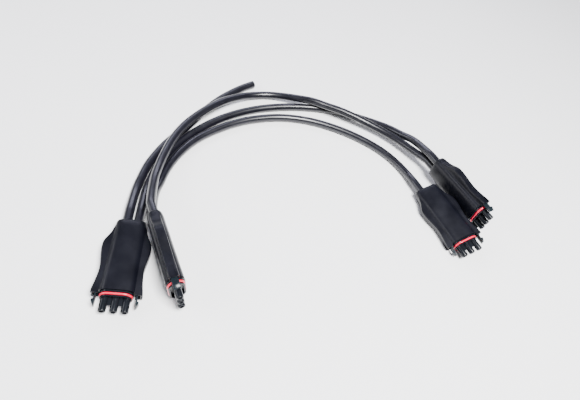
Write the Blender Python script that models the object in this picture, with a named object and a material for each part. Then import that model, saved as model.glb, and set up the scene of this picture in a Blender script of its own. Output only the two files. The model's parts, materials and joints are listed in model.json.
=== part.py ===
"""Daisy-chain AC lead for small solar inverters: four flat three-pole connectors on one cable line.

The line runs from a bare cut end to plug 1, then to plugs 2 and 3, and stops at plug 4.  Plugs 1 and 4
lie on a broad face and plugs 2 and 3 stand on an edge, so the two cables behind them lie one above the
other.  Lengths are in metres, +Z is up, and the table is z = 0.

A plug is modelled in its own frame first: the cables come in over y = 0, the mating side looks along -Y,
X runs across the broad face and Z through the thickness.  Depths below count from the rear end forwards.
"""
import math

import bmesh
import bpy
from mathutils import Matrix, Vector

MM = 0.001

# ---- driving dimensions of one plug, in metres -----------------------------------------------------
GAP = 0.3 * MM                     # clearance between pieces that touch on the real plug
POLE_PITCH = 8.8 * MM              # between the three barrels
CABLE_DIAMETER = 9.0 * MM
CABLE_PITCH = 10.2 * MM            # between the two cable entries
RIM_DEPTH = 69.0 * MM              # rear end to the front rim of the body
TIP_DEPTH = 85.5 * MM              # rear end to the tips of the barrels

# body sections from the rear forwards: depth, half width, half thickness, roundness exponent
BODY_SECTIONS = (
    (-1.6, 11.6, 5.5, 2.8),
    (-0.9, 13.0, 6.7, 3.0),
    (0.8, 13.7, 7.3, 3.1),
    (5.0, 13.8, 7.6, 3.2),
    (26.0, 13.7, 7.8, 3.4),
    (50.0, 13.8, 8.0, 3.6),
    (69.0, 14.1, 8.3, 3.6),
)
# edge of a wing: depth, half width of the plug there
WING_EDGE = ((7.0, 14.4), (12.0, 15.3), (16.5, 17.7), (21.0, 20.0), (26.0, 20.7), (35.0, 19.9),
             (48.0, 17.9), (60.0, 19.0), (68.0, 20.5), (71.0, 20.4))
WING_HALF_THICKNESS = 4.3 * MM
WING_BEVEL = 1.3 * MM
CUT_FRONT = 80.0 * MM              # cutters run from inside the body to here
CUT_REAR = -8.0 * MM
CUT_HALF_HEIGHT = 12.0 * MM        # cutters that go right through the body

CAVITY_HALF = (12.9 * MM, 6.7 * MM)          # half width and half thickness of the bore for the insert
CAVITY_BACK = 15.0 * MM
INSERT_HALF = (12.6 * MM, 6.4 * MM)
INSERT_BACK = 32.0 * MM
FLANGE_HALF = (13.7 * MM, 7.8 * MM)
GROOVE_HALF = (12.0 * MM, 6.0 * MM)          # floor of the groove that the seal sits in
NOSE_HALF = (12.9 * MM, 7.0 * MM)
CUP_HALF = (11.2 * MM, 5.2 * MM)             # recess in the nose, around the barrels
FLANGE_BACK = RIM_DEPTH + GAP
GROOVE_BACK = 70.7 * MM
NOSE_BACK = 73.5 * MM
NOSE_FRONT = 74.7 * MM
CUP_FLOOR = 72.0 * MM
WEB_BITE = 0.2 * MM                         # how far the web runs into the cup wall
BARREL_RADIUS = 3.1 * MM
BARREL_CHAMFER = 0.5 * MM
WEB_FRONT = 80.0 * MM
WEB_HALF_THICKNESS = 0.8 * MM
CORE_HOLE_RADIUS = 1.8 * MM
NOSE_ROUNDING = 0.6 * MM                    # where the web leaves the cup wall, behind the nose front

CONTACT_RADIUS = 1.5 * MM
CONTACT_BORE_RADIUS = 1.0 * MM
CONTACT_BACK = 28.0 * MM
CONTACT_FRONT = 83.0 * MM
CONTACT_BORE_DEPTH = 12.0 * MM
CONTACT_TAIL_RADIUS = 1.2 * MM
CONTACT_LIP = 0.3 * MM

SEAL_SECTION = (1.45 * MM, 2.3 * MM)         # how far it stands off the groove floor, and its width
SEAL_BACK = 70.95 * MM
SEAL_FLOOR_GAP = 0.25 * MM
SEAL_CROWN = 0.25 * MM                       # extra height along the middle of its width

NOSE_ROOM_HALF = 14.5 * MM                   # nothing of the wings is left inside this, past the rim
LATCH_POCKET_INNER = 14.3 * MM               # a pocket in each wing, open in front
LATCH_POCKET_OUTER = 18.8 * MM
LATCH_ROOT_OUTER = 17.7 * MM                 # narrower at the back, where the wing has its waist
LATCH_ROOT_END = 65.0 * MM
LATCH_POCKET_BACK = 56.0 * MM
LATCH_POCKET_HALF = 3.5 * MM
LATCH_AXIS = (16.3 * MM, 58.6 * MM)          # x and depth of the hinge line
LATCH_ROOT_RADIUS = 1.1 * MM
LATCH_HALF_HEIGHT = 3.0 * MM
LATCH_ARM = (15.6 * MM, 17.0 * MM)           # inner and outer x of the arm
LATCH_ARM_START = 1.6 * MM                   # from the hinge line to where the arm is straight
LATCH_HOOK = ((75.6, 17.0), (76.2, 18.5), (77.4, 18.5), (80.6, 16.8), (80.6, 15.9))

ENTRY_RADIUS = 4.8 * MM                      # bore that a cable goes into
GLAND_BACK = 3.0 * MM
GLAND_FRONT = 13.0 * MM
GLAND_RADIUS = 4.5 * MM
GLAND_WAIST = 4.0 * MM
CORE_PASSAGE = 2.6 * MM
# turned profile of the bung: depth, radius
BUNG_PROFILE = ((0.6, 2.6), (0.9, 4.1), (1.6, 4.5), (8.0, 4.5), (8.6, 4.0), (13.0, 4.0))

JOINT_PLATE = (7.0 * MM, 9.4 * MM, 1.6 * MM)
JOINT_FRONT = CONTACT_BACK - GAP

# ---- how the plugs lie: x, y, height of the centre line, heading, roll -------------------------------
PLUG_POSES = {
    "plug_1": (-158.6, 34.1, 8.6, -15.0, 4.0),
    "plug_2": (177.8, 49.5, 20.8, 12.0, -92.0),
    "plug_3": (-138.3, 28.0, 20.9, 7.0, -94.0),
    "plug_4": (155.3, 25.5, 9.9, 8.4, -15.0),
}
LAST_PLUG = "plug_4"                         # its right entry takes no cable
CENTRE = Vector((1.8, -4.4, 0.0)) * MM       # middle of the four plugs' box in the layout below

# ---- cable routes on the table: hand-chosen points in millimetres between the two ends ---------------
# An end is ("plug name", side), the entry on the plug's -X or +X half, or None for a bare cut end.
CABLE_ROUTES = {
    "cable_supply": (None, ("plug_1", -1), (
        (4, 227, 4.8), (-12, 220.5, 4.8), (-27, 212.5, 4.8), (-42, 203, 4.8), (-56, 192, 4.8),
        (-68.5, 180.5, 4.8), (-80, 168.8, 4.8), (-92, 157.2, 4.8), (-104, 146.6, 4.8),
        (-116, 135.2, 4.8), (-127.3, 122, 4.8), (-137.6, 107.3, 4.8), (-145.8, 91, 4.8),
        (-152.8, 74.4, 5.2))),
    "cable_1_2": (("plug_1", 1), ("plug_2", 1), (
        (-143, 73, 5), (-137, 86.8, 4.8), (-129.2, 102.2, 4.8),
        (-119.1, 116.8, 4.8), (-106.5, 131.3, 4.8), (-93, 142.9, 4.8), (-79, 152.5, 4.8),
        (-63, 161.8, 4.8), (-44, 170.3, 4.8), (-22, 177, 4.8), (1, 181, 4.8), (24, 182, 4.8),
        (46, 180.6, 4.8), (68, 177, 4.8), (89.5, 171, 4.8), (109.5, 162, 4.8), (127, 151.5, 5.2),
        (142, 140, 6.6), (154.5, 126.5, 9.4), (164, 110.5, 13), (171, 93.5, 18.6))),
    "cable_2_3": (("plug_2", -1), ("plug_3", 1), (
        (167, 81.5, 13.4), (157, 101.5, 11.6), (144.5, 119, 10.8), (130, 133.5, 11.4),
        (115, 145.5, 13.4), (99, 157.3, 14.8), (83, 168, 14.8), (67, 178.4, 14.8), (50, 189, 11.5),
        (33, 199, 7.5), (15, 204.5, 5.6), (-5, 204.3, 6.2), (-23, 198.5, 9.5), (-41, 189.5, 13.2),
        (-58, 179.5, 14.7), (-74, 168.5, 14.7), (-89, 156, 14.7), (-101, 142.8, 14.7),
        (-111, 128.5, 14.7), (-119.5, 113, 14.7), (-127, 97, 15), (-134, 77, 17.6))),
    "cable_3_4": (("plug_3", -1), ("plug_4", -1), (
        (-135, 68, 7.6), (-128.2, 83.5, 4.8), (-121, 97.5, 4.8),
        (-111.6, 111.2, 4.8), (-100, 124, 4.8), (-87.4, 135, 4.8), (-73.5, 143.8, 4.8),
        (-58, 151, 4.8), (-40, 157.8, 4.8), (-20, 162.5, 4.8), (0, 164.3, 4.8), (20, 163.8, 4.8),
        (40, 160, 4.8), (60, 153, 4.8), (79, 143, 4.8), (96.5, 131, 4.8), (111.5, 118, 4.8),
        (124.5, 104, 4.8), (135, 89, 4.8), (142.5, 73, 4.8), (147, 56, 5.8))),
}
CABLE_POINT_SPACING = 24.5 * MM
CABLE_LEAD_OUT = 14.0 * MM                   # straight stretch behind a plug before the cable bends
CURVE_SAMPLES = 12
CABLE_START = GLAND_BACK - GAP

# ---- colours -----------------------------------------------------------------------------------------
FINISHES = {
    "housing": ((0.020, 0.021, 0.026), 0.42, 0.0),
    "insert": ((0.008, 0.009, 0.012), 0.30, 0.0),
    "latch": ((0.010, 0.014, 0.018), 0.34, 0.0),
    "seal": ((0.62, 0.010, 0.030), 0.38, 0.0),
    "gland": ((0.015, 0.015, 0.016), 0.70, 0.0),
    "contact": ((0.78, 0.55, 0.22), 0.28, 1.0),
    "joint": ((0.72, 0.42, 0.28), 0.35, 1.0),
    "cable": ((0.014, 0.014, 0.018), 0.36, 0.0),
}


def clear_scene():
    for old in list(bpy.data.objects):
        bpy.data.objects.remove(old, do_unlink=True)


def make_material(name):
    colour, roughness, metallic = FINISHES[name]
    material = bpy.data.materials.new(name)
    material.use_nodes = True
    shader = material.node_tree.nodes["Principled BSDF"]
    shader.inputs["Base Color"].default_value = (*colour, 1.0)
    shader.inputs["Roughness"].default_value = roughness
    shader.inputs["Metallic"].default_value = metallic
    return material


# ---- outlines in the plug's own frame; a ring is a list of points at one depth ------------------------
def barrel_ring(half_width, half_thickness, depth, exponent, count=20):
    """A rounded rectangle with gently crowned sides."""
    ring = []
    for step in range(count):
        angle = 2.0 * math.pi * (step + 0.5) / count
        c, s = math.cos(angle), math.sin(angle)
        x = half_width * math.copysign(abs(c) ** (2.0 / exponent), c)
        z = half_thickness * math.copysign(abs(s) ** (2.0 / exponent), s)
        ring.append(Vector((x, -depth, z)))
    return ring


def stadium_ring(half_width, half_thickness, depth, arc_steps=7):
    """Two straight sides joined by half circles."""
    straight = half_width - half_thickness
    ring = []
    for side in (1, -1):
        for step in range(arc_steps + 1):
            angle = math.pi * (step / arc_steps - 0.5)
            x = side * (straight + half_thickness * math.cos(angle))
            ring.append(Vector((x, -depth, side * half_thickness * math.sin(angle))))
    return ring


def round_ring(radius, depth, x=0.0, count=12):
    turns = [2.0 * math.pi * step / count for step in range(count)]
    return [Vector((x + radius * math.cos(a), -depth, radius * math.sin(a))) for a in turns]


# ---- mesh makers ---------------------------------------------------------------------------------------
def bridge(mesh, ring_a, ring_b):
    count = len(ring_a)
    for i in range(count):
        j = (i + 1) % count
        mesh.faces.new((ring_a[i], ring_a[j], ring_b[j], ring_b[i]))


def finish_mesh(mesh, name, smooth_angle=32.0):
    bmesh.ops.recalc_face_normals(mesh, faces=mesh.faces)
    data = bpy.data.meshes.new(name)
    mesh.to_mesh(data)
    mesh.free()
    data.shade_smooth()
    data.set_sharp_from_angle(angle=math.radians(smooth_angle))
    return data


def loft(rings, name):
    """A closed solid through a row of rings."""
    mesh = bmesh.new()
    rows = [[mesh.verts.new(point) for point in ring] for ring in rings]
    for row_a, row_b in zip(rows, rows[1:]):
        bridge(mesh, row_a, row_b)
    mesh.faces.new(rows[0])
    mesh.faces.new(rows[-1])
    return finish_mesh(mesh, name)


def hoop(rings, name):
    """A closed band: the last ring joins the first."""
    mesh = bmesh.new()
    rows = [[mesh.verts.new(point) for point in ring] for ring in rings]
    for row_a, row_b in zip(rows, rows[1:] + rows[:1]):
        bridge(mesh, row_a, row_b)
    return finish_mesh(mesh, name)


def slab(outline, half_height, name, bevel=0.0):
    """An outline of (depth, x) points, extruded both ways along Z."""
    mesh = bmesh.new()
    lower = [mesh.verts.new((x, -depth, -half_height)) for depth, x in outline]
    upper = [mesh.verts.new((x, -depth, half_height)) for depth, x in outline]
    bridge(mesh, lower, upper)
    caps = [mesh.faces.new(lower), mesh.faces.new(upper)]
    if bevel > 0.0:
        rims = [edge for cap in caps for edge in cap.edges]
        bmesh.ops.bevel(mesh, geom=rims, offset=bevel, segments=1, affect="EDGES")
    return finish_mesh(mesh, name)


def box(x_range, depth_range, half_height, name):
    outline = [(depth_range[0], x_range[0]), (depth_range[0], x_range[1]),
               (depth_range[1], x_range[1]), (depth_range[1], x_range[0])]
    return slab(outline, half_height, name)


def combine(base, steps, name):
    """Cut or join solids in order; each step is (operation, mesh)."""
    body = bpy.data.objects.new(name, base)
    bpy.context.collection.objects.link(body)
    helpers = []
    for operation, tool_mesh in steps:
        tool = bpy.data.objects.new(name + "_tool", tool_mesh)
        bpy.context.collection.objects.link(tool)
        tool.hide_render = True
        tool.display_type = "WIRE"
        cut = body.modifiers.new(operation.lower(), "BOOLEAN")
        cut.operation = operation
        cut.object = tool
        helpers.append(tool)
    bpy.context.view_layer.update()
    result = bpy.data.meshes.new_from_object(body.evaluated_get(bpy.context.evaluated_depsgraph_get()))
    result.name = name
    result.materials.clear()
    for helper in helpers + [body]:
        bpy.data.objects.remove(helper, do_unlink=True)
    return result


# ---- the pieces of one plug ----------------------------------------------------------------------------
def smooth_through(knots, samples_per_span):
    """Catmull-Rom points through a row of knots of any dimension."""
    knots = [Vector(knot) for knot in knots]
    padded = [2 * knots[0] - knots[1]] + knots + [2 * knots[-1] - knots[-2]]
    points = []
    for a, b, c, d in zip(padded, padded[1:], padded[2:], padded[3:]):
        for step in range(samples_per_span):
            t = step / samples_per_span
            points.append(0.5 * (2 * b + (c - a) * t + (2 * a - 5 * b + 4 * c - d) * t * t
                                 + (3 * b - a - 3 * c + d) * t ** 3))
    points.append(knots[-1])
    return points


def wing_plate():
    right = [(p[0] * MM, p[1] * MM) for p in smooth_through(WING_EDGE, 2)]
    outline = right + [(depth, -x) for depth, x in reversed(right)]
    return slab(outline, WING_HALF_THICKNESS, "wing_plate", WING_BEVEL)


def make_housing():
    body = loft([barrel_ring(w * MM, t * MM, d * MM, n) for d, w, t, n in BODY_SECTIONS], "body")
    steps = [("UNION", wing_plate())]
    cavity = [stadium_ring(*CAVITY_HALF, depth) for depth in (CAVITY_BACK, CUT_FRONT)]
    steps.append(("DIFFERENCE", loft(cavity, "cavity")))
    nose_room = box((-NOSE_ROOM_HALF, NOSE_ROOM_HALF), (RIM_DEPTH, CUT_FRONT), CUT_HALF_HEIGHT, "nose")
    steps.append(("DIFFERENCE", nose_room))
    for side in (-1, 1):
        for outer, depths in ((LATCH_ROOT_OUTER, (LATCH_POCKET_BACK, LATCH_ROOT_END + MM)),
                              (LATCH_POCKET_OUTER, (LATCH_ROOT_END, CUT_FRONT))):
            span = sorted((side * LATCH_POCKET_INNER, side * outer))
            steps.append(("DIFFERENCE", box(span, depths, LATCH_POCKET_HALF, "pocket")))
        x = side * CABLE_PITCH / 2
        entry = [round_ring(ENTRY_RADIUS, depth, x, 16) for depth in (CUT_REAR, CAVITY_BACK + 2 * MM)]
        steps.append(("DIFFERENCE", loft(entry, "entry")))
    return combine(body, steps, "housing")


def pole_places():
    return (-POLE_PITCH, 0.0, POLE_PITCH)


def make_insert():
    steps_of_core = ((INSERT_BACK, INSERT_HALF), (FLANGE_BACK, INSERT_HALF), (FLANGE_BACK, FLANGE_HALF),
                     (GROOVE_BACK, FLANGE_HALF), (GROOVE_BACK, GROOVE_HALF), (NOSE_BACK, GROOVE_HALF),
                     (NOSE_BACK, NOSE_HALF), (NOSE_FRONT, NOSE_HALF))
    core = loft([stadium_ring(*half, depth) for depth, half in steps_of_core], "core")
    cup = loft([stadium_ring(*CUP_HALF, depth) for depth in (CUP_FLOOR, NOSE_FRONT + MM)], "cup")
    steps = [("DIFFERENCE", cup)]
    root = CUP_FLOOR - MM
    web_end, web_shoulder = CUP_HALF[0] + WEB_BITE, NOSE_FRONT - NOSE_ROUNDING
    web = [(root, -web_end), (web_shoulder, -web_end), (WEB_FRONT, -POLE_PITCH),
           (WEB_FRONT, POLE_PITCH), (web_shoulder, web_end), (root, web_end)]
    steps.append(("UNION", slab(web, WEB_HALF_THICKNESS, "web")))
    for x in pole_places():
        barrel = [round_ring(BARREL_RADIUS, root, x, 14),
                  round_ring(BARREL_RADIUS, TIP_DEPTH - BARREL_CHAMFER, x, 14),
                  round_ring(BARREL_RADIUS - BARREL_CHAMFER, TIP_DEPTH, x, 14)]
        steps.append(("UNION", loft(barrel, "barrel")))
    for x in pole_places():
        hole = [round_ring(CORE_HOLE_RADIUS, depth, x, 10) for depth in (INSERT_BACK - MM, TIP_DEPTH + MM)]
        steps.append(("DIFFERENCE", loft(hole, "hole")))
    return combine(core, steps, "insert")


def make_seal():
    """A soft red ring in the groove, rounded on its outer side."""
    stand, width = SEAL_SECTION
    outline = ((SEAL_FLOOR_GAP, 0.0), (stand, 0.25 * width), (stand + SEAL_CROWN, 0.5 * width),
               (stand, 0.75 * width), (SEAL_FLOOR_GAP, width))
    rings = []
    for off, along in outline:
        half = [size + off for size in GROOVE_HALF]
        rings.append(stadium_ring(*half, SEAL_BACK + along))
    return hoop(rings, "seal")


def make_latch(side):
    """A thin arm with a hook that points away from the barrels; its origin is the hinge line."""
    axis_x, axis_depth = LATCH_AXIS
    inner, outer = LATCH_ARM
    root = []
    for step in range(7):
        angle = math.radians(60 + 40 * step)
        root.append((axis_depth + LATCH_ROOT_RADIUS * math.cos(angle),
                     axis_x - LATCH_ROOT_RADIUS * math.sin(angle)))
    hook = [(depth * MM, x * MM) for depth, x in LATCH_HOOK]
    start = axis_depth + LATCH_ARM_START
    outline = root + [(start, outer)] + hook + [(start, inner)]
    moved = [(depth - axis_depth, side * (x - axis_x)) for depth, x in outline]
    return slab(moved, LATCH_HALF_HEIGHT, "latch")


def make_contact():
    """A turned socket: open at the front, with a solid tail for the crimp."""
    bore_end = CONTACT_FRONT - CONTACT_BORE_DEPTH
    shoulder = INSERT_BACK + MM
    profile = ((CONTACT_BACK, CONTACT_TAIL_RADIUS), (shoulder, CONTACT_TAIL_RADIUS),
               (shoulder, CONTACT_RADIUS), (CONTACT_FRONT - CONTACT_LIP, CONTACT_RADIUS),
               (CONTACT_FRONT, CONTACT_RADIUS - CONTACT_LIP),
               (CONTACT_FRONT, CONTACT_BORE_RADIUS), (bore_end, CONTACT_BORE_RADIUS))
    return loft([round_ring(radius, depth, 0.0, 10) for depth, radius in profile], "contact")


def make_gland():
    """A ribbed rubber bush round the cores, pressed into a cable entry."""
    ribs = 2
    length = GLAND_FRONT - GLAND_BACK
    outside = []
    for rib in range(ribs):
        start = GLAND_BACK + length * rib / ribs
        outside.append((start, GLAND_RADIUS))
        outside.append((start + length / ribs * 0.5, GLAND_RADIUS))
        outside.append((start + length / ribs * 0.75, GLAND_WAIST))
    outside.append((GLAND_FRONT, GLAND_RADIUS))
    profile = outside + [(GLAND_FRONT, CORE_PASSAGE), (GLAND_BACK, CORE_PASSAGE)]
    return hoop([round_ring(radius, depth, 0.0, 10) for depth, radius in profile], "gland")


def make_blanking_plug():
    """A stepped bung for an entry that takes no cable, with a slightly domed end."""
    rings = [round_ring(radius * MM, depth * MM, 0.0, 12) for depth, radius in BUNG_PROFILE]
    return loft(rings, "blanking_plug")


def make_joint_plate():
    """Flat piece of tinned copper that joins the two cables' cores and one contact."""
    width, length, thickness = JOINT_PLATE
    return box((-width / 2, width / 2), (JOINT_FRONT - length, JOINT_FRONT), thickness / 2, "joint_plate")


# ---- assembly ------------------------------------------------------------------------------------------
def plug_matrix(name):
    x, y, z, heading, roll = PLUG_POSES[name]
    turn = Matrix.Rotation(math.radians(heading), 4, "Z") @ Matrix.Rotation(math.radians(roll), 4, "Y")
    return Matrix.Translation(Vector((x, y, z)) * MM - CENTRE) @ turn


def add_piece(name, data, material, holder, place=(0.0, 0.0, 0.0)):
    if not data.materials:
        data.materials.append(material)
    piece = bpy.data.objects.new(name, data)
    bpy.context.collection.objects.link(piece)
    piece.parent = holder
    piece.location = place
    return piece


def build_plugs(materials):
    housing, insert, seal = make_housing(), make_insert(), make_seal()
    latches = {"left": (-1, make_latch(-1)), "right": (1, make_latch(1))}
    contact, gland, bung, plate = make_contact(), make_gland(), make_blanking_plug(), make_joint_plate()
    poles = dict(zip(("line", "neutral", "earth"), pole_places()))
    for plug in PLUG_POSES:
        holder = bpy.data.objects.new(plug + "_frame", None)
        bpy.context.collection.objects.link(holder)
        holder.matrix_world = plug_matrix(plug)
        add_piece(plug + "_housing", housing, materials["housing"], holder)
        add_piece(plug + "_insert", insert, materials["insert"], holder)
        add_piece(plug + "_seal", seal, materials["seal"], holder)
        for label, (side, data) in latches.items():
            place = (side * LATCH_AXIS[0], -LATCH_AXIS[1], 0.0)
            add_piece(plug + "_latch_" + label, data, materials["latch"], holder, place)
        for pole, x in poles.items():
            add_piece(plug + "_contact_" + pole, contact, materials["contact"], holder, (x, 0.0, 0.0))
            add_piece(plug + "_joint_" + pole, plate, materials["joint"], holder, (x, 0.0, 0.0))
        for label, side in (("left", -1), ("right", 1)):
            place = (side * CABLE_PITCH / 2, 0.0, 0.0)
            if plug == LAST_PLUG and side == 1:
                add_piece(plug + "_blanking_plug", bung, materials["gland"], holder, place)
            else:
                add_piece(plug + "_gland_" + label, gland, materials["gland"], holder, place)


def entry_points(end):
    """Where a cable starts at a gland, and the end of its straight stretch behind the plug."""
    if end is None:
        return []
    plug, side = end
    matrix = plug_matrix(plug)
    x = side * CABLE_PITCH / 2
    return [matrix @ Vector((x, y, 0.0)) for y in (-CABLE_START, CABLE_LEAD_OUT)]


def evenly_spaced(dense, spacing):
    """Points along a dense row, an equal walk apart, with both of its ends kept."""
    total = sum((b - a).length for a, b in zip(dense, dense[1:]))
    spans = round(total / spacing)
    points, walked, wanted = [dense[0]], 0.0, total / spans
    for a, b in zip(dense, dense[1:]):
        length = (b - a).length
        while walked + length >= wanted * len(points) and len(points) < spans:
            points.append(a.lerp(b, (wanted * len(points) - walked) / length))
        walked += length
    return points + [dense[-1]]


def cable_curve(name, material):
    start, finish, route = CABLE_ROUTES[name]
    middle = [Vector(point) * MM - CENTRE for point in route]
    near, far = entry_points(start), entry_points(finish)[::-1]
    dense = smooth_through(near + middle + far, CURVE_SAMPLES)
    bends = dense[CURVE_SAMPLES * (len(near) // 2):len(dense) - CURVE_SAMPLES * (len(far) // 2)]
    points = near[:1] + evenly_spaced(bends, CABLE_POINT_SPACING) + far[-1:]
    total = sum((b - a).length for a, b in zip(points, points[1:]))
    curve = bpy.data.curves.new(name, "CURVE")
    curve.dimensions = "3D"
    curve.bevel_depth = CABLE_DIAMETER / 2
    curve.bevel_resolution = 2
    curve.use_fill_caps = True
    spline = curve.splines.new("POLY")
    spline.points.add(len(points) - 1)
    for target, point in zip(spline.points, points):
        target.co = (*point, 1.0)
    curve.materials.append(material)
    cable = bpy.data.objects.new(name, curve)
    bpy.context.collection.objects.link(cable)
    print(f"{name}: {total:.4f} m along {len(points)} points")


def main():
    clear_scene()
    materials = {name: make_material(name) for name in FINISHES}
    build_plugs(materials)
    for name in CABLE_ROUTES:
        cable_curve(name, materials["cable"])


main()
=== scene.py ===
# %% [markdown]
# # A lead with four flat connectors, for small solar inverters
# Four identical black connectors hang on one line of round cable.  Two lie on a broad face and two
# stand on an edge.  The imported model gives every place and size; this script gives the surfaces.

# %% Load the frame
import json
import math

import bmesh
import bpy
from mathutils import Matrix, Vector


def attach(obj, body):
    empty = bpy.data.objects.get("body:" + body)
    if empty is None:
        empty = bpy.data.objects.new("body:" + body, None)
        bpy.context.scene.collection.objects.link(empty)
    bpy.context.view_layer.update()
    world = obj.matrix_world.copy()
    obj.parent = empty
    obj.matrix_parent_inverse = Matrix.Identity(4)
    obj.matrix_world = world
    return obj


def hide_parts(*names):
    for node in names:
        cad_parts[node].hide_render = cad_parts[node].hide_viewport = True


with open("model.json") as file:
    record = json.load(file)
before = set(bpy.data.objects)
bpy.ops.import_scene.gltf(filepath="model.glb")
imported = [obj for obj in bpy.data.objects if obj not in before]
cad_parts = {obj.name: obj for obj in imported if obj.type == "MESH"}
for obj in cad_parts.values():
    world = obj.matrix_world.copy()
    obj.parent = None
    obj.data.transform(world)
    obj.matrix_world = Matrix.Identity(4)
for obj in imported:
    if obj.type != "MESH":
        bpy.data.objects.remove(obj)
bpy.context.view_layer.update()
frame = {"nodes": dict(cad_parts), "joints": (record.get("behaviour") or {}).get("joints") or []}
MM = 0.001
PLUGS = ("plug_1", "plug_2", "plug_3", "plug_4")

# %% [markdown]
# ## The camera
# It looks down on the lead from the front left, and is tilted a little about its own line of sight.  A
# look-at constraint could aim it, but it can't tilt as well, so the three axes are worked out here.

# %% Place the camera
CAMERA_AIM = Vector((-1.8, 48.4, 0.0)) * MM
CAMERA_DISTANCE = 466.7 * MM
CAMERA_HEADING = math.radians(30.0)
CAMERA_ELEVATION = math.radians(51.25)
CAMERA_TILT = math.radians(16.74)
CAMERA_LENS_MM = 27.31

forward = Vector((math.sin(CAMERA_HEADING) * math.cos(CAMERA_ELEVATION),
                  math.cos(CAMERA_HEADING) * math.cos(CAMERA_ELEVATION), -math.sin(CAMERA_ELEVATION)))
level_right = Vector((math.cos(CAMERA_HEADING), -math.sin(CAMERA_HEADING), 0.0))
level_up = level_right.cross(forward)
right = level_right * math.cos(CAMERA_TILT) + level_up * math.sin(CAMERA_TILT)
up = level_up * math.cos(CAMERA_TILT) - level_right * math.sin(CAMERA_TILT)
camera = bpy.data.objects.new("camera", bpy.data.cameras.new("camera"))
bpy.context.scene.collection.objects.link(camera)
camera.matrix_world = (Matrix.Translation(CAMERA_AIM - forward * CAMERA_DISTANCE)
                       @ Matrix((right, up, -forward)).transposed().to_4x4())
camera.data.lens = CAMERA_LENS_MM
camera.data.sensor_width = 36.0
camera.data.clip_start = 0.01
bpy.context.scene.camera = camera
print("camera stands at", [round(v, 3) for v in camera.location])

# %% [markdown]
# ## Where each connector is
# The two latches of a connector turn about parallel lines, one on each side of it.  Those two hinge lines
# are in the record, and they fix the connector's own frame: X from the left latch to the right one, Z
# along the left hinge line, and -Y towards the mating side.  So no pose is typed in twice.

# %% Read a connector's frame from its latch joints
LATCH_DEPTH = 58.6 * MM            # rear end of a connector to its hinge lines
joints = {joint["name"]: joint for joint in frame["joints"]}


def plug_frame(plug):
    left = joints[plug + "_latch_left_flex"]
    middle_right = Vector(joints[plug + "_latch_right_flex"]["pos_m"])
    across = (middle_right - Vector(left["pos_m"])).normalized()
    through = Vector(left["axis"]).normalized()
    back = through.cross(across)
    middle = (middle_right + Vector(left["pos_m"])) / 2
    turn = Matrix((across, back, through)).transposed().to_4x4()
    return Matrix.Translation(middle + back * LATCH_DEPTH) @ turn


FRAMES = {plug: plug_frame(plug) for plug in PLUGS}
for plug, matrix in FRAMES.items():
    print(plug, "rear end at", [round(v / MM, 1) for v in matrix.translation])

# %% [markdown]
# ## The cables
# A round cable is a curve with a bevel.  The route's own points are few and listed, and a smooth
# curve through them keeps the lazy arcs that stiff cable falls into.

# %% Lay the four cables
CABLE_DIAMETER = 9.0 * MM
CABLE_PITCH = 10.2 * MM
CABLE_START = 2.7 * MM             # depth inside the entry where a cable begins
CABLE_LEAD_OUT = 14.0 * MM
CURVE_SAMPLES = 9
LAYOUT_CENTRE = Vector((1.8, -4.4, 0.0)) * MM
# An end is (connector, side); None is the bare cut end.  Then the route, and the cable's length.
CABLES = {
    "cable_supply": (None, ("plug_1", -1), 0.2674, (
        (4, 227, 4.8), (-12, 220.5, 4.8), (-27, 212.5, 4.8), (-42, 203, 4.8), (-56, 192, 4.8),
        (-68.5, 180.5, 4.8), (-80, 168.8, 4.8), (-92, 157.2, 4.8), (-104, 146.6, 4.8),
        (-116, 135.2, 4.8), (-127.3, 122, 4.8), (-137.6, 107.3, 4.8), (-145.8, 91, 4.8),
        (-152.8, 74.4, 5.2))),
    "cable_1_2": (("plug_1", 1), ("plug_2", 1), 0.4899, (
        (-143, 73, 5), (-137, 86.8, 4.8), (-129.2, 102.2, 4.8),
        (-119.1, 116.8, 4.8), (-106.5, 131.3, 4.8), (-93, 142.9, 4.8), (-79, 152.5, 4.8),
        (-63, 161.8, 4.8), (-44, 170.3, 4.8), (-22, 177, 4.8), (1, 181, 4.8), (24, 182, 4.8),
        (46, 180.6, 4.8), (68, 177, 4.8), (89.5, 171, 4.8), (109.5, 162, 4.8), (127, 151.5, 5.2),
        (142, 140, 6.6), (154.5, 126.5, 9.4), (164, 110.5, 13), (171, 93.5, 18.6))),
    "cable_2_3": (("plug_2", -1), ("plug_3", 1), 0.5016, (
        (167, 81.5, 13.4), (157, 101.5, 11.6), (144.5, 119, 10.8), (130, 133.5, 11.4),
        (115, 145.5, 13.4), (99, 157.3, 14.8), (83, 168, 14.8), (67, 178.4, 14.8), (50, 189, 11.5),
        (33, 199, 7.5), (15, 204.5, 5.6), (-5, 204.3, 6.2), (-23, 198.5, 9.5), (-41, 189.5, 13.2),
        (-58, 179.5, 14.7), (-74, 168.5, 14.7), (-89, 156, 14.7), (-101, 142.8, 14.7),
        (-111, 128.5, 14.7), (-119.5, 113, 14.7), (-127, 97, 15), (-134, 77, 17.6))),
    "cable_3_4": (("plug_3", -1), ("plug_4", -1), 0.4521, (
        (-135, 68, 7.6), (-128.2, 83.5, 4.8), (-121, 97.5, 4.8),
        (-111.6, 111.2, 4.8), (-100, 124, 4.8), (-87.4, 135, 4.8), (-73.5, 143.8, 4.8),
        (-58, 151, 4.8), (-40, 157.8, 4.8), (-20, 162.5, 4.8), (0, 164.3, 4.8), (20, 163.8, 4.8),
        (40, 160, 4.8), (60, 153, 4.8), (79, 143, 4.8), (96.5, 131, 4.8), (111.5, 118, 4.8),
        (124.5, 104, 4.8), (135, 89, 4.8), (142.5, 73, 4.8), (147, 56, 5.8))),
}


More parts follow.
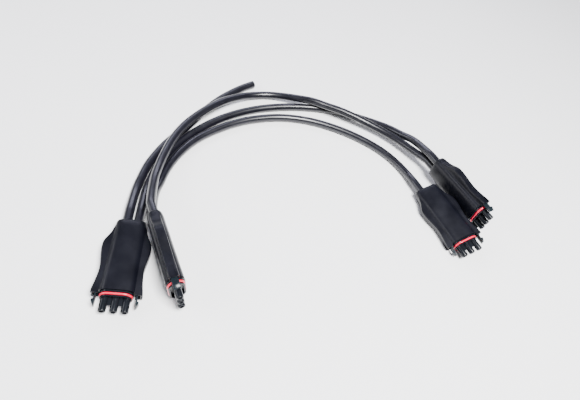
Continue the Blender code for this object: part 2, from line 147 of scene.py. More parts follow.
def entry_points(end):
    """Where a cable starts inside its connector, and the end of its straight stretch behind it."""
    if end is None:
        return []
    plug, side = end
    x = side * CABLE_PITCH / 2
    return [FRAMES[plug] @ Vector((x, -depth, 0.0)) for depth in (CABLE_START, -CABLE_LEAD_OUT)]


def smooth_through(knots, samples):
    """Catmull-Rom points through a row of knots."""
    knots = [Vector(knot) for knot in knots]
    padded = [2 * knots[0] - knots[1]] + knots + [2 * knots[-1] - knots[-2]]
    points = []
    for a, b, c, d in zip(padded, padded[1:], padded[2:], padded[3:]):
        for step in range(samples):
            t = step / samples
            points.append(0.5 * (2 * b + (c - a) * t + (2 * a - 5 * b + 4 * c - d) * t * t
                                 + (3 * b - a - 3 * c + d) * t ** 3))
    return points + [knots[-1]]


cables = {}
for name, (start, finish, length, route) in CABLES.items():
    middle = [Vector(point) * MM - LAYOUT_CENTRE for point in route]
    near, far = entry_points(start), entry_points(finish)[::-1]
    dense = smooth_through(near + middle + far, CURVE_SAMPLES)
    bends = dense[CURVE_SAMPLES * (len(near) // 2):len(dense) - CURVE_SAMPLES * (len(far) // 2)]
    line = near[:1] + bends + far[-1:]
    curve = bpy.data.curves.new(name + "_jacket", "CURVE")
    curve.dimensions = "3D"
    curve.bevel_depth = 1.0
    curve.bevel_resolution = 6
    curve.use_fill_caps = True
    spline = curve.splines.new("POLY")
    spline.points.add(len(line) - 1)
    for target, point in zip(spline.points, line):
        target.co = (*point, 1.0)
        target.radius = CABLE_DIAMETER / 2
    cable = bpy.data.objects.new(name + "_jacket", curve)
    bpy.context.scene.collection.objects.link(cable)
    cables[name] = cable
    measured = sum((b - a).length for a, b in zip(line, line[1:]))
    print(f"{name}: {measured:.4f} m, {len(line)} points")

# %% [markdown]
# ## Building in a connector's own frame
# Each piece is shaped once, with the cables entering at y = 0 and the mating side along -Y.  A copy of
# its mesh is then carried into each connector's frame.  Cutters are gone once they have cut, so nothing
# in the scene depends on them.

# %% Helpers for lofts, cuts and placing
def ring_points(outline, depth):
    return [Vector((x, -depth, z)) for x, z in outline]


def stadium(half_width, half_height, steps=16):
    """Two straight sides joined by half circles, as (x, z) points."""
    straight = half_width - half_height
    points = []
    for side in (1, -1):
        for step in range(steps + 1):
            angle = math.pi * (step / steps - 0.5)
            points.append((side * (straight + half_height * math.cos(angle)),
                           side * half_height * math.sin(angle)))
    return points


def circle(radius, x=0.0, count=40):
    turns = [2 * math.pi * step / count for step in range(count)]
    return [(x + radius * math.cos(turn), radius * math.sin(turn)) for turn in turns]


def make_object(name, mesh):
    bmesh.ops.recalc_face_normals(mesh, faces=mesh.faces)
    data = bpy.data.meshes.new(name)
    mesh.to_mesh(data)
    mesh.free()
    made = bpy.data.objects.new(name, data)
    bpy.context.scene.collection.objects.link(made)
    return made


def loft(name, rings, closed_loop=False):
    """A solid through rings of points; a closed loop joins its last ring to its first."""
    mesh = bmesh.new()
    rows = [[mesh.verts.new(point) for point in ring] for ring in rings]
    count = len(rows[0])
    following = rows[1:] + rows[:1] if closed_loop else rows[1:]
    for row_a, row_b in zip(rows, following):
        for i in range(count):
            j = (i + 1) % count
            mesh.faces.new((row_a[i], row_a[j], row_b[j], row_b[i]))
    if not closed_loop:
        mesh.faces.new(rows[0])
        mesh.faces.new(rows[-1])
    return make_object(name, mesh)


def slab(name, outline, low, high):
    """An outline of (depth, x) points between two heights."""
    return loft(name, [[Vector((x, -depth, z)) for depth, x in outline] for z in (low, high)])


def block(name, x_range, depth_range, half_height):
    (x0, x1), (d0, d1) = x_range, depth_range
    return slab(name, [(d0, x0), (d0, x1), (d1, x1), (d1, x0)], -half_height, half_height)


def apply_stack(made, smooth_angle=38.0):
    """Bake the modifiers into the mesh, and shade it smooth up to that angle."""
    bpy.context.view_layer.update()
    baked = bpy.data.meshes.new_from_object(
        made.evaluated_get(bpy.context.evaluated_depsgraph_get()))
    made.modifiers.clear()
    made.data = baked
    baked.shade_smooth()
    baked.set_sharp_from_angle(angle=math.radians(smooth_angle))
    return made


def combine(made, steps):
    """Join or cut with each (operation, tool) in turn, then remove the tools."""
    for operation, tool in steps:
        change = made.modifiers.new(operation.lower(), "BOOLEAN")
        change.operation = operation
        change.object = tool
        change.solver = "EXACT"
    apply_stack(made)
    for _, tool in steps:
        bpy.data.objects.remove(tool, do_unlink=True)
    return made


def soften(made, width, segments=2, angle=40.0):
    bevel = made.modifiers.new("soft edges", "BEVEL")
    bevel.width = width
    bevel.segments = segments
    bevel.limit_method = "ANGLE"
    bevel.angle_limit = math.radians(angle)
    return bevel


def place_copies(master, suffix, node_suffixes, body=None):
    """One copy of a piece in each connector, standing for the CAD nodes named there."""
    placed = []
    for plug in PLUGS:
        data = master.data.copy()
        data.transform(FRAMES[plug])
        piece = bpy.data.objects.new(f"{plug}_{suffix}", data)
        bpy.context.scene.collection.objects.link(piece)
        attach(piece, f"{plug}_{body}" if body else "lead")
        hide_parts(*[f"{plug}_{node}" for node in node_suffixes])
        placed.append(piece)
    bpy.data.objects.remove(master, do_unlink=True)
    print(f"{suffix}: {len(placed[0].data.polygons)} faces in each of {len(placed)} copies")
    return placed


# %% [markdown]
# ## The housing
# The real housing is one soft-edged moulding: a flattened barrel that swells out of two thin wings.  Two
# solids joined with a Boolean would meet in a hard crease.  Here each section is the larger of a
# barrel and a wing, mixed so that they flow together, and Subdivision Surface rounds it along its
# length.

# %% Shape the outer skin
# depth, barrel half width, barrel half thickness, roundness, wing half width (millimetres)
SECTIONS = (
    (-1.6, 11.6, 5.5, 2.8, 0.0), (-1.4, 12.3, 6.1, 2.9, 0.0), (-0.9, 13.0, 6.7, 3.0, 0.0),
    (0.8, 13.7, 7.3, 3.1, 0.0), (4.6, 13.8, 7.6, 3.2, 0.0), (6.4, 13.8, 7.6, 3.2, 13.9),
    (7.4, 13.8, 7.6, 3.2, 14.5), (12.0, 13.7, 7.6, 3.3, 15.3), (16.5, 13.7, 7.7, 3.3, 17.7),
    (20.5, 13.7, 7.7, 3.4, 19.9), (23.0, 13.7, 7.8, 3.4, 20.5), (26.0, 13.7, 7.8, 3.4, 20.7),
    (30.0, 13.7, 7.8, 3.4, 20.5), (35.0, 13.7, 7.8, 3.4, 19.9), (42.0, 13.7, 7.9, 3.5, 18.7),
    (48.0, 13.8, 8.0, 3.6, 17.9), (53.0, 13.8, 8.0, 3.6, 18.2), (60.0, 14.0, 8.2, 3.6, 19.0),
    (65.0, 14.1, 8.3, 3.6, 20.0), (68.0, 14.1, 8.3, 3.6, 20.5), (71.0, 14.1, 8.3, 3.6, 20.4),
    (76.0, 14.1, 8.3, 3.6, 20.4))
WING_HALF_THICKNESS = 4.3
WING_CORNER = 1.3
MIX_SHARPNESS = 30.0
NARROWEST_WING = 14.4
SPANS = (4, 5, 4, 6, 12)           # faces along the side, round the corner, over the wing, up, across


def superellipse_reach(half_width, half_height, power, angle):
    c, s = math.cos(angle), math.sin(angle)
    return ((c / half_width) ** power + (s / half_height) ** power) ** (-1.0 / power)


def wing_reach(half_width, angle):
    """From the middle of a plate with round corners to its edge."""
    c, s = math.cos(angle), math.sin(angle)
    corner_x, corner_z = half_width - WING_CORNER, WING_HALF_THICKNESS - WING_CORNER
    if half_width * s <= corner_z * c:
        return half_width / c
    if WING_HALF_THICKNESS * c <= corner_x * s:
        return WING_HALF_THICKNESS / s
    along = corner_x * c + corner_z * s
    return along + math.sqrt(along ** 2 - corner_x ** 2 - corner_z ** 2 + WING_CORNER ** 2)


def quarter_angles(half_width, half_thickness, roundness, wing_half_width):
    """Angles for a quarter section, close together where the outline turns."""
    wing = max(wing_half_width, NARROWEST_WING)
    corner_start = math.atan2(WING_HALF_THICKNESS - WING_CORNER, wing)
    corner_end = math.atan2(WING_HALF_THICKNESS, wing - WING_CORNER)
    barrel_x = half_width * (1 - (WING_HALF_THICKNESS / half_thickness) ** roundness) ** (1 / roundness)
    crease = math.atan2(WING_HALF_THICKNESS, barrel_x)
    crease_start = max(crease - math.radians(3), corner_end + math.radians(1))
    crease_end = crease_start + math.radians(8)
    stops = (0.0, corner_start, corner_end, crease_start, crease_end, math.pi / 2)
    angles = []
    for low, high, count in zip(stops, stops[1:], SPANS):
        angles += [low + (high - low) * step / count for step in range(count)]
    return angles + [math.pi / 2]


def skin_section(half_width, half_thickness, roundness, wing_half_width):
    quarter = []
    for angle in quarter_angles(half_width, half_thickness, roundness, wing_half_width):
        reach = superellipse_reach(half_width, half_thickness, roundness, angle)
        if wing_half_width:
            wing = wing_reach(wing_half_width, angle)
            reach = (reach ** MIX_SHARPNESS + wing ** MIX_SHARPNESS) ** (1.0 / MIX_SHARPNESS)
        quarter.append((reach * math.cos(angle) * MM, reach * math.sin(angle) * MM))
    half = quarter + [(-x, z) for x, z in quarter[-2::-1]]
    return half + [(x, -z) for x, z in half[-2:0:-1]]


housing = loft("housing", [ring_points(skin_section(w, t, n, wing), d * MM)
                           for d, w, t, n, wing in SECTIONS])
smooth = housing.modifiers.new("round the skin", "SUBSURF")
smooth.levels = smooth.render_levels = 1
apply_stack(housing)
print("skin:", len(housing.data.polygons), "faces")

# %% [markdown]
# Every opening is cut where the real mould has a core: the mouth for the insert, a pocket for each
# latch, and a round entry for each cable.  A shallow ramp leads to each pocket over the wing's narrow
# edge.  A cutter that widens at its mouth leaves a small chamfer.  The bars on the underside stand where
# the real one carries markings, and say nothing.

# %% Cut the openings
RIM_DEPTH = 69.0 * MM
WING_DEPTH = 71.0 * MM
PAST_FRONT = 82.0 * MM
TALL = 12.0 * MM
CHAMFER = 0.5 * MM
WIDE = 30.0 * MM
CAVITY, CAVITY_BACK = (12.9 * MM, 6.7 * MM), 15.0 * MM
NOSE_ROOM = 14.5 * MM
POCKET_INNER, POCKET_OUTER, POCKET_ROOT = 14.3 * MM, 18.8 * MM, 17.7 * MM
POCKET_BACK, POCKET_STEP = 56.0 * MM, 65.0 * MM
POCKET_HALF = 3.5 * MM
RAMP = ((60.0, 19.0), (74.0, 19.85), (74.0, 23.0), (60.0, 23.0))
RAMP_HALF = 2.4 * MM
ENTRY_RADIUS = 4.8 * MM
ENTRY_CLEAR = 8.0 * MM             # how far behind the rear end an entry's cutter starts
BARS = ((-1.2, 1.3, 30.0, 52.0), (4.4, 0.4, 34.0, 50.0), (7.0, 0.4, 31.0, 53.0))
BAR_FLOOR = 7.5 * MM

cavity_rings = [(0.0, CAVITY_BACK), (0.0, RIM_DEPTH - CHAMFER), (CHAMFER, RIM_DEPTH),
                (CHAMFER, PAST_FRONT)]
cuts = [("DIFFERENCE", loft("cavity", [ring_points(stadium(CAVITY[0] + more, CAVITY[1] + more), depth)
                                       for more, depth in cavity_rings])),
        ("DIFFERENCE", block("front", (-WIDE, WIDE), (WING_DEPTH, PAST_FRONT), TALL)),
        ("DIFFERENCE", block("nose_room", (-NOSE_ROOM, NOSE_ROOM), (RIM_DEPTH, PAST_FRONT), TALL))]
for side in (-1, 1):
    for outer, depths in ((POCKET_ROOT, (POCKET_BACK, POCKET_STEP + MM)),
                          (POCKET_OUTER, (POCKET_STEP, PAST_FRONT))):
        span = sorted((side * POCKET_INNER, side * outer))
        cuts.append(("DIFFERENCE", block("pocket", span, depths, POCKET_HALF)))
    ramp = [(depth * MM, side * x * MM) for depth, x in RAMP]
    cuts.append(("DIFFERENCE", slab("ramp", ramp, -RAMP_HALF, RAMP_HALF)))
    entry_rings = [(CHAMFER * 3, -ENTRY_CLEAR), (CHAMFER, -1.4 * MM), (0.0, 0.2 * MM),
                   (0.0, CAVITY_BACK + 2 * MM)]
    cuts.append(("DIFFERENCE", loft("entry", [
        ring_points(circle(ENTRY_RADIUS + more, side * CABLE_PITCH / 2), depth)
        for more, depth in entry_rings])))
for x, half, start, end in BARS:
    outline = [(start * MM, (x - half) * MM), (start * MM, (x + half) * MM),
               (end * MM, (x + half) * MM), (end * MM, (x - half) * MM)]
    cuts.append(("DIFFERENCE", slab("bar", outline, -TALL, -BAR_FLOOR)))
combine(housing, cuts)
housings = place_copies(housing, "housing_shell", ["housing"])

# %% [markdown]
# ## The insert
# The black insert carries the three barrels.  Its flange shows as a dark band in front of the housing,
# then comes the groove for the seal, and a short nose with a cup in it.  The barrels stand in the cup
# on a thin web that ties them together.

# %% Build the insert
POLE_PITCH = 8.8 * MM
POLES = {"line": -POLE_PITCH, "neutral": 0.0, "earth": POLE_PITCH}
EDGE = 0.3 * MM
FLANGE, GROOVE, NOSE = (13.7 * MM, 7.8 * MM), (12.0 * MM, 6.0 * MM), (12.9 * MM, 7.0 * MM)
CUP = (11.2 * MM, 5.2 * MM)
SHANK, SHANK_BACK = (12.6 * MM, 6.4 * MM), 32.0 * MM
FLANGE_BACK, FLANGE_FRONT, NOSE_BACK = 69.3 * MM, 70.7 * MM, 73.5 * MM
CUP_FLOOR, NOSE_FRONT, TIP = 72.0 * MM, 74.7 * MM, 85.5 * MM
BARREL_RADIUS, HOLE_RADIUS = 3.1 * MM, 1.8 * MM


def smaller(half, by):
    return (half[0] - by, half[1] - by)


core_rings = ((SHANK, SHANK_BACK), (SHANK, FLANGE_BACK),
              (smaller(FLANGE, EDGE), FLANGE_BACK), (FLANGE, FLANGE_BACK + EDGE),
              (FLANGE, FLANGE_FRONT - EDGE), (smaller(FLANGE, EDGE), FLANGE_FRONT),
              (GROOVE, FLANGE_FRONT), (GROOVE, NOSE_BACK),
              (smaller(NOSE, EDGE), NOSE_BACK), (NOSE, NOSE_BACK + EDGE), (NOSE, NOSE_FRONT - EDGE),
              (smaller(NOSE, EDGE), NOSE_FRONT))
insert = loft("insert", [ring_points(stadium(*half), depth) for half, depth in core_rings])
cup_rings = ((0.0, CUP_FLOOR), (0.0, NOSE_FRONT - EDGE), (EDGE, NOSE_FRONT), (EDGE, NOSE_FRONT + MM))
steps = [("DIFFERENCE", loft("cup", [ring_points(stadium(CUP[0] + more, CUP[1] + more), depth)
                                     for more, depth in cup_rings]))]
web_root, web_front, web_end = CUP_FLOOR - MM, 80.0 * MM, CUP[0] + 0.2 * MM
web_outline = [(web_root, -web_end), (NOSE_FRONT - 0.6 * MM, -web_end), (web_front, -POLE_PITCH),
               (web_front, POLE_PITCH), (NOSE_FRONT - 0.6 * MM, web_end), (web_root, web_end)]
steps.append(("UNION", slab("web", web_outline, -0.8 * MM, 0.8 * MM)))
for x in POLES.values():
    barrel = ((BARREL_RADIUS, web_root), (BARREL_RADIUS, TIP - 0.6 * MM), (BARREL_RADIUS - 0.15 * MM,
              TIP - 0.25 * MM), (BARREL_RADIUS - 0.5 * MM, TIP))
    steps.append(("UNION", loft("barrel", [ring_points(circle(radius, x), depth)
                                           for radius, depth in barrel])))
for x in POLES.values():
    hole = ((HOLE_RADIUS, 31 * MM), (HOLE_RADIUS, TIP - EDGE), (HOLE_RADIUS + EDGE, TIP),
            (HOLE_RADIUS + EDGE, TIP + MM))
    steps.append(("DIFFERENCE", loft("hole", [ring_points(circle(radius, x, 28), depth)
                                              for radius, depth in hole])))
combine(insert, steps)
inserts = place_copies(insert, "insert_core", ["insert"])

# %% [markdown]
# ## The seal
# A soft ring with a round bead.  It is a section carried round the groove as a closed loop, so it has no
# seam, and one level of Subdivision Surface takes the facets off the bead.

# %% Build the seal
SEAL_BACK, SEAL_WIDTH = 70.95 * MM, 2.3 * MM
SEAL_FOOT, SEAL_HEIGHT = 0.2 * MM, 1.5 * MM
bead = []
for step in range(9):
    turn = math.pi * step / 8
    bead.append((SEAL_FOOT + SEAL_HEIGHT * math.sin(turn) ** 0.8,
                 SEAL_BACK + SEAL_WIDTH * (1 - math.cos(turn)) / 2))
seal = loft("seal", [ring_points(stadium(GROOVE[0] + off, GROOVE[1] + off), depth)
                     for off, depth in bead], closed_loop=True)
rounding = seal.modifiers.new("round the bead", "SUBSURF")
rounding.levels = rounding.render_levels = 1
apply_stack(seal, 60.0)
seals = place_copies(seal, "seal_ring", ["seal"])

# %% [markdown]
# ## The latches
# Each is a flat springy arm with a hook that points outwards.  The outline is drawn once and mirrored
# by its sign, not with a Mirror modifier, because the two arms are separate pieces on separate joints.

# %% Build the latches
LATCH_X = 16.3 * MM
ARM_INNER, ARM_OUTER, ARM_START = 15.6 * MM, 17.0 * MM, LATCH_DEPTH + 1.6 * MM
HOOK = ((75.6, 17.0), (76.2, 18.5), (77.4, 18.5), (80.6, 16.8), (80.6, 15.9))
ROOT_RADIUS = 1.1 * MM
latches = []
for label, side in (("left", -1), ("right", 1)):
    outline = []
    for step in range(13):
        turn = math.radians(60 + 20 * step)
        outline.append((LATCH_DEPTH + ROOT_RADIUS * math.cos(turn),
                        side * (LATCH_X - ROOT_RADIUS * math.sin(turn))))
    outline += [(ARM_START, side * ARM_OUTER)] + [(d * MM, side * x * MM) for d, x in HOOK]
    outline += [(ARM_START, side * ARM_INNER)]
    latch = slab("latch", outline, -3.0 * MM, 3.0 * MM)
    soften(latch, 0.2 * MM)
    apply_stack(latch)
    latches += place_copies(latch, f"latch_arm_{label}", [f"latch_{label}"], f"latch_{label}")

# %% [markdown]
# ## The contacts
# Only a glint shows at the bottom of each barrel.  A contact is turned on a lathe, so it is a profile
# swept round its own axis.

# %% Build the contacts
CONTACT_PROFILE = ((28.0, 0.9), (28.3, 1.2), (33.0, 1.2), (33.0, 1.5), (82.7, 1.5), (83.0, 1.25),
                   (83.0, 1.05), (82.7, 0.95), (71.0, 0.95))
contacts = []
for pole, x in POLES.items():
    contact = loft("contact", [ring_points(circle(radius * MM, x, 24), depth * MM)
                               for depth, radius in CONTACT_PROFILE])
    apply_stack(contact)
    contacts += place_copies(contact, f"socket_{pole}", [f"contact_{pole}"])

# %% [markdown]
# ## The cut end
# The first cable ends bare, so its end shows three insulated cores in the jacket, each with a bundle of
# copper strands.

# %% Show the cores in the cut end
CORE_RADIUS, CORE_RING = 1.45 * MM, 1.95 * MM
STRAND_RADIUS = 0.27 * MM
tail = cables["cable_supply"].data.splines[0].points
end_point, next_point = Vector(tail[0].co[:3]), Vector(tail[1].co[:3])
outward = (end_point - next_point).normalized()
end_frame = Matrix.Translation(end_point) @ outward.to_track_quat("-Y", "Z").to_matrix().to_4x4()
cut_end = {}
for index, core in enumerate(("line", "neutral", "earth")):
    turn = math.radians(90 + 120 * index)
    cx, cz = CORE_RING * math.cos(turn), CORE_RING * math.sin(turn)
    shift = Matrix.Translation((cx, 0.0, cz))
    sleeve = loft(f"cut_end_core_{core}", [ring_points(circle(r, 0.0, 28), d) for r, d in (
        (CORE_RADIUS, -1.5 * MM), (CORE_RADIUS, 0.25 * MM), (CORE_RADIUS - 0.12 * MM, 0.35 * MM))])
    sleeve.data.transform(end_frame @ shift)
    apply_stack(sleeve)
    cut_end[core] = sleeve
    strands = bmesh.new()
    for place in range(7):
        spread = 0.0 if place == 0 else 2.1 * STRAND_RADIUS
        sx, sz = spread * math.cos(place * math.pi / 3), spread * math.sin(place * math.pi / 3)
        bmesh.ops.create_cone(strands, cap_ends=True, segments=12, radius1=STRAND_RADIUS,
                              radius2=STRAND_RADIUS, depth=1.2 * MM,
                              matrix=Matrix.Translation((sx, -0.1 * MM, sz))
                              @ Matrix.Rotation(math.pi / 2, 4, "X"))
    bundle = make_object(f"cut_end_copper_{core}", strands)
    bundle.data.transform(end_frame @ shift)
    apply_stack(bundle)
    cut_end[core + "_copper"] = bundle
for piece in cut_end.values():
    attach(piece, "lead")
print("cut end:", len(cut_end), "pieces at", [round(v / MM, 1) for v in end_point])

for name, (start, finish, length, route) in CABLES.items():
    cable = cables[name]
    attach(cable, "lead")
    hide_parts(name)

# %% [markdown]
# ## Moulded plastic
# The housings, inserts and latches share one make-up and differ in tone and gloss.  Spark-eroded moulds
# leave a very fine grain, so a tight noise drives the bump.  A broad, faint noise moves the colour and
# the roughness, as handling does.

# %% Write the moulded plastic
def moulded_plastic(name, dark, light, smoothest, roughest, grain_size, grain_height):
    material = bpy.data.materials.new(name)
    material.use_nodes = True
    nodes, links = material.node_tree.nodes, material.node_tree.links
    shader = nodes["Principled BSDF"]
    shader.inputs["Specular IOR Level"].default_value = 0.22

    place = nodes.new("ShaderNodeTexCoord")
    place.label = "position on the piece"
    place.location = (-1100, 0)

    tone_frame = nodes.new("NodeFrame")
    tone_frame.label = "uneven tone"
    clouds = nodes.new("ShaderNodeTexNoise")
    clouds.label = "handling marks"
    clouds.location = (-800, 250)
    clouds.parent = tone_frame
    clouds.inputs["Scale"].default_value = 55.0
    clouds.inputs["Detail"].default_value = 5.0
    tones = nodes.new("ShaderNodeValToRGB")
    tones.label = "dark to light plastic"
    tones.location = (-500, 250)
    tones.parent = tone_frame
    tones.color_ramp.elements[0].position = 0.35
    tones.color_ramp.elements[0].color = (*dark, 1.0)
    tones.color_ramp.elements[1].position = 0.7
    tones.color_ramp.elements[1].color = (*light, 1.0)

    gloss_frame = nodes.new("NodeFrame")
    gloss_frame.label = "uneven gloss"
    gloss = nodes.new("ShaderNodeMapRange")
    gloss.label = "polished to dull"
    gloss.location = (-500, 0)
    gloss.parent = gloss_frame
    gloss.inputs["From Min"].default_value = 0.3
    gloss.inputs["From Max"].default_value = 0.7
    gloss.inputs["To Min"].default_value = smoothest
    gloss.inputs["To Max"].default_value = roughest

    grain_frame = nodes.new("NodeFrame")
    grain_frame.label = "mould grain"
    grain = nodes.new("ShaderNodeTexNoise")
    grain.label = "spark-eroded grain"
    grain.location = (-800, -300)
    grain.parent = grain_frame
    grain.inputs["Scale"].default_value = 1.0 / grain_size
    grain.inputs["Detail"].default_value = 2.0
    relief = nodes.new("ShaderNodeBump")
    relief.label = "grain relief"
    relief.location = (-500, -300)
    relief.parent = grain_frame
    relief.inputs["Strength"].default_value = 0.6
    relief.inputs["Distance"].default_value = grain_height

    links.new(place.outputs["Object"], clouds.inputs["Vector"])
    links.new(place.outputs["Object"], grain.inputs["Vector"])
    links.new(clouds.outputs["Fac"], tones.inputs["Fac"])
    links.new(clouds.outputs["Fac"], gloss.inputs["Value"])
    links.new(grain.outputs["Fac"], relief.inputs["Height"])
    links.new(tones.outputs["Color"], shader.inputs["Base Color"])
    links.new(gloss.outputs["Result"], shader.inputs["Roughness"])
    links.new(relief.outputs["Normal"], shader.inputs["Normal"])
    return material


housing_black = moulded_plastic("housing plastic", (0.0022, 0.0024, 0.0046), (0.0040, 0.0043, 0.0076),
                                0.30, 0.42, 0.35 * MM, 0.03 * MM)
insert_black = moulded_plastic("insert plastic", (0.004, 0.005, 0.007), (0.008, 0.009, 0.012),
                               0.14, 0.24, 0.6 * MM, 0.01 * MM)
latch_black = moulded_plastic("latch plastic", (0.006, 0.010, 0.013), (0.012, 0.018, 0.023),
                              0.22, 0.36, 0.5 * MM, 0.01 * MM)
core_colours = {"line": (0.10, 0.035, 0.012), "neutral": (0.01, 0.06, 0.30), "earth": (0.16, 0.30, 0.02)}
core_plastics = {core: moulded_plastic(core + " core plastic", colour, [min(1.0, v * 1.3) for v in colour],
                                       0.35, 0.5, 0.5 * MM, 0.01 * MM)
                 for core, colour in core_colours.items()}

# %% [markdown]
# ## Rubber and cable jacket
# Extruded jackets and moulded rubber have no grain.  They have a slow swell of the surface and a thin
# sheen at grazing angles, which is what makes a black cable read as round.

# %% Write the rubber
def soft_rubber(name, dark, light, roughness, swell_size, swell_height, sheen, coat):
    material = bpy.data.materials.new(name)
    material.use_nodes = True
    nodes, links = material.node_tree.nodes, material.node_tree.links
    shader = nodes["Principled BSDF"]
    shader.inputs["Sheen Weight"].default_value = sheen
    shader.inputs["Sheen Roughness"].default_value = 0.4
    shader.inputs["Coat Weight"].default_value = coat
    shader.inputs["Coat Roughness"].default_value = 0.25

    place = nodes.new("ShaderNodeTexCoord")
    place.label = "position on the piece"
    place.location = (-1100, 0)

    tone_frame = nodes.new("NodeFrame")
    tone_frame.label = "uneven tone"
    clouds = nodes.new("ShaderNodeTexNoise")
    clouds.label = "dust and handling"
    clouds.location = (-800, 250)
    clouds.parent = tone_frame
    clouds.inputs["Scale"].default_value = 90.0
    clouds.inputs["Detail"].default_value = 4.0
    tones = nodes.new("ShaderNodeValToRGB")
    tones.label = "clean to dusty rubber"
    tones.location = (-500, 250)
    tones.parent = tone_frame
    tones.color_ramp.elements[0].position = 0.35
    tones.color_ramp.elements[0].color = (*dark, 1.0)
    tones.color_ramp.elements[1].position = 0.75
    tones.color_ramp.elements[1].color = (*light, 1.0)
    gloss = nodes.new("ShaderNodeMapRange")
    gloss.label = "wiped to dusty gloss"
    gloss.location = (-500, 0)
    gloss.parent = tone_frame
    gloss.inputs["To Min"].default_value = roughness - 0.07
    gloss.inputs["To Max"].default_value = roughness + 0.07

    swell_frame = nodes.new("NodeFrame")
    swell_frame.label = "slow swell of the surface"
    swell = nodes.new("ShaderNodeTexNoise")
    swell.label = "extrusion unevenness"
    swell.location = (-800, -300)
    swell.parent = swell_frame
    swell.inputs["Scale"].default_value = 1.0 / swell_size
    swell.inputs["Detail"].default_value = 3.0
    relief = nodes.new("ShaderNodeBump")
    relief.label = "swell relief"
    relief.location = (-500, -300)
    relief.parent = swell_frame
    relief.inputs["Strength"].default_value = 0.5
    relief.inputs["Distance"].default_value = swell_height

    links.new(place.outputs["Object"], clouds.inputs["Vector"])
    links.new(place.outputs["Object"], swell.inputs["Vector"])
    links.new(clouds.outputs["Fac"], tones.inputs["Fac"])
    links.new(clouds.outputs["Fac"], gloss.inputs["Value"])
    links.new(swell.outputs["Fac"], relief.inputs["Height"])
    links.new(tones.outputs["Color"], shader.inputs["Base Color"])
    links.new(gloss.outputs["Result"], shader.inputs["Roughness"])
    links.new(relief.outputs["Normal"], shader.inputs["Normal"])
    return material


jacket_black = soft_rubber("cable jacket", (0.0026, 0.0026, 0.0055), (0.0048, 0.0048, 0.0092), 0.30,
                           2.5 * MM, 0.05 * MM, 0.05, 0.12)
gland_black = soft_rubber("gland rubber", (0.010, 0.010, 0.010), (0.022, 0.022, 0.022), 0.65,
                          1.5 * MM, 0.05 * MM, 0.1, 0.0)
seal_red = soft_rubber("seal silicone", (0.62, 0.001, 0.030), (0.74, 0.002, 0.045), 0.24,
                       1.5 * MM, 0.03 * MM, 0.0, 0.3)

# %% [markdown]
# ## Metal
# Gold plate and bare copper share one make-up: a full metal whose colour and gloss drift a little, with
# fine turning marks in the relief.

# %% Write the metal
def turned_metal(name, bright, dull, roughness, mark_size):
    material = bpy.data.materials.new(name)
    material.use_nodes = True
    nodes, links = material.node_tree.nodes, material.node_tree.links
    shader = nodes["Principled BSDF"]
    shader.inputs["Metallic"].default_value = 1.0
    shader.inputs["Roughness"].default_value = roughness

    place = nodes.new("ShaderNodeTexCoord")
    place.label = "position on the piece"
    place.location = (-1100, 0)

    tone_frame = nodes.new("NodeFrame")
    tone_frame.label = "bright to dull metal"
    tarnish = nodes.new("ShaderNodeTexNoise")
    tarnish.label = "tarnish"
    tarnish.location = (-800, 200)
    tarnish.parent = tone_frame
    tarnish.inputs["Scale"].default_value = 400.0
    tones = nodes.new("ShaderNodeValToRGB")
    tones.label = "metal colours"
    tones.location = (-500, 200)
    tones.parent = tone_frame
    tones.color_ramp.elements[0].color = (*bright, 1.0)
    tones.color_ramp.elements[1].color = (*dull, 1.0)

    mark_frame = nodes.new("NodeFrame")
    mark_frame.label = "turning marks"
    marks = nodes.new("ShaderNodeTexNoise")
    marks.label = "fine marks"
    marks.location = (-800, -200)
    marks.parent = mark_frame
    marks.inputs["Scale"].default_value = 1.0 / mark_size
    relief = nodes.new("ShaderNodeBump")
    relief.label = "mark relief"
    relief.location = (-500, -200)
    relief.parent = mark_frame
    relief.inputs["Strength"].default_value = 0.3
    relief.inputs["Distance"].default_value = 0.01 * MM

    links.new(place.outputs["Object"], tarnish.inputs["Vector"])
    links.new(place.outputs["Object"], marks.inputs["Vector"])
    links.new(tarnish.outputs["Fac"], tones.inputs["Fac"])
    links.new(marks.outputs["Fac"], relief.inputs["Height"])
    links.new(tones.outputs["Color"], shader.inputs["Base Color"])
    links.new(relief.outputs["Normal"], shader.inputs["Normal"])
    return material


gold = turned_metal("gold plate", (0.90, 0.62, 0.20), (0.66, 0.42, 0.13), 0.22, 0.2 * MM)
copper = turned_metal("bare copper", (0.82, 0.42, 0.26), (0.55, 0.26, 0.15), 0.35, 0.2 * MM)

# %% Give every piece its finish
def finish_with(pieces, material):
    for piece in pieces:
        piece.data.materials.clear()
        piece.data.materials.append(material)


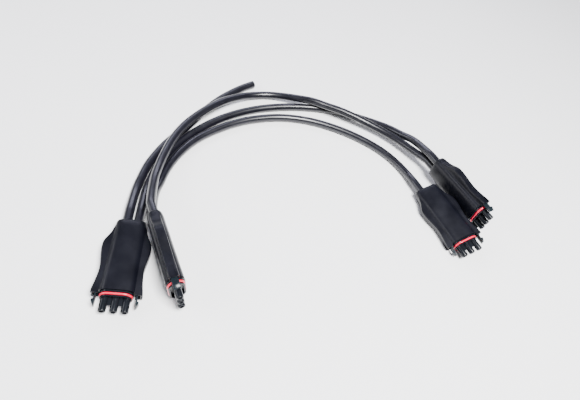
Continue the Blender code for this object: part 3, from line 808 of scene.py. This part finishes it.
finish_with(housings, housing_black)
finish_with(inserts, insert_black)
finish_with(latches, latch_black)
finish_with(seals, seal_red)
finish_with(contacts, gold)
finish_with(cables.values(), jacket_black)
for core, plastic in core_plastics.items():
    finish_with([cut_end[core]], plastic)
    finish_with([cut_end[core + "_copper"]], copper)
for name, node in frame["nodes"].items():
    for slot_of_node in node.material_slots:
        if "joint" in name:
            slot_of_node.material = copper
        elif "gland" in name or "blanking" in name:
            slot_of_node.material = gland_black
print("materials:", len(bpy.data.materials))

# %% [markdown]
# ## Floor and light
# A plain pale floor and broad soft lights.  Black plastic only shows by what it reflects, so one long
# light lies behind the lead for the streak along the cables, and one stands at the left.  The key light
# is high and near the front, and whitens the floor.

# %% Set the stage
floor_mesh = bmesh.new()
bmesh.ops.create_grid(floor_mesh, x_segments=1, y_segments=1, size=3.0)
floor = make_object("floor", floor_mesh)
floor_white = bpy.data.materials.new("floor")
floor_white.use_nodes = True
floor_white.node_tree.nodes["Principled BSDF"].inputs["Base Color"].default_value = (0.95, 0.95, 0.955, 1)
floor_white.node_tree.nodes["Principled BSDF"].inputs["Roughness"].default_value = 0.7
finish_with([floor], floor_white)

world = bpy.data.worlds.new("studio")
world.use_nodes = True
world.node_tree.nodes["Background"].inputs["Color"].default_value = (0.93, 0.95, 1.0, 1.0)
world.node_tree.nodes["Background"].inputs["Strength"].default_value = 0.22
bpy.context.scene.world = world
# name, place, size across and along, power in watts, colour
LIGHTS = (("key", (0.1, -0.45, 1.2), (0.45, 0.45), 66.0, (1.0, 1.0, 1.0)),
          ("left", (-0.85, 0.25, 0.5), (0.9, 0.3), 6.0, (0.94, 0.95, 1.0)),
          ("back", (0.15, 0.95, 0.7), (1.1, 0.22), 7.0, (0.80, 0.80, 1.0)))
for name, place, (across, along), power, colour in LIGHTS:
    lamp = bpy.data.lights.new(name, "AREA")
    lamp.shape = "RECTANGLE"
    lamp.size = across
    lamp.size_y = along
    lamp.energy = power
    lamp.color = colour
    light = bpy.data.objects.new(name, lamp)
    bpy.context.scene.collection.objects.link(light)
    light.location = place
    light.rotation_euler = (CAMERA_AIM - Vector(place)).to_track_quat("-Z", "Y").to_euler()
print("lights:", len(LIGHTS))
